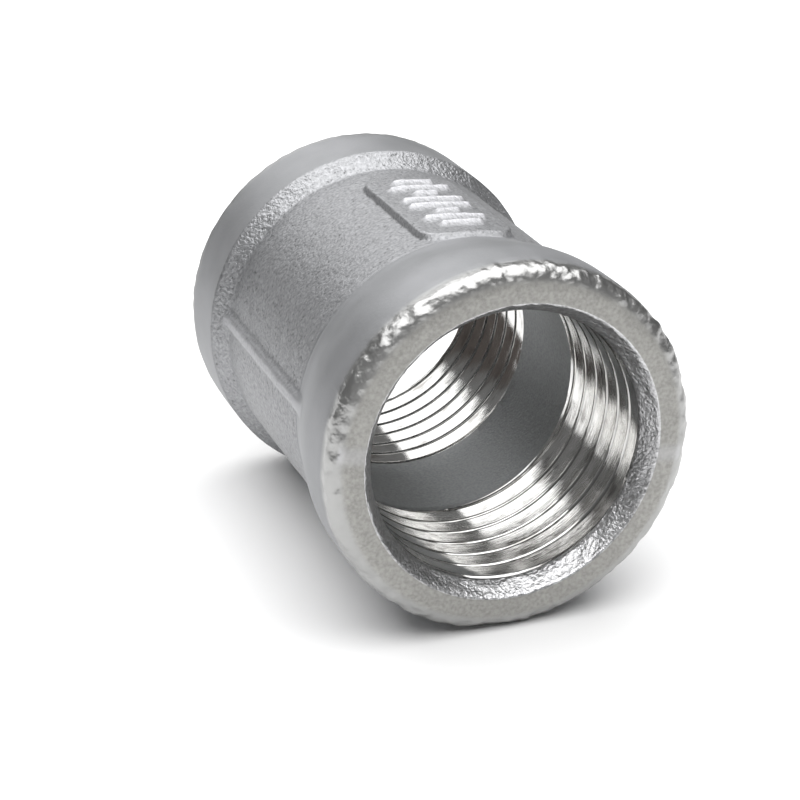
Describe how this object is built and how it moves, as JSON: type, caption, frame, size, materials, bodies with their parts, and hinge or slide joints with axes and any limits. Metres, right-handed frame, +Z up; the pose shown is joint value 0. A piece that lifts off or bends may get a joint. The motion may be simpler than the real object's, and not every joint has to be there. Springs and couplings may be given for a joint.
{
  "type": "pipe coupling",
  "caption": "Straight banded pipe coupling: a short stainless socket with a thick band and a female parallel pipe thread at each end, a marking pad and low side ribs.",
  "frame": {"origin": "on the pipe axis, halfway between the two end faces", "axes": "+Y along the pipe axis from the front mouth to the rear mouth, +Z up out of the marking pad (4 degrees off its middle), the coupling lying on its side"},
  "size_m": [0.026, 0.034, 0.026],
  "materials": {
    "cast_stainless": "satin, fine sandy investment-cast skin outside, bright machined threads inside"
  },
  "bodies": {
    "root": {"coupling_body": "cast_stainless"}
  },
  "joints": []
}
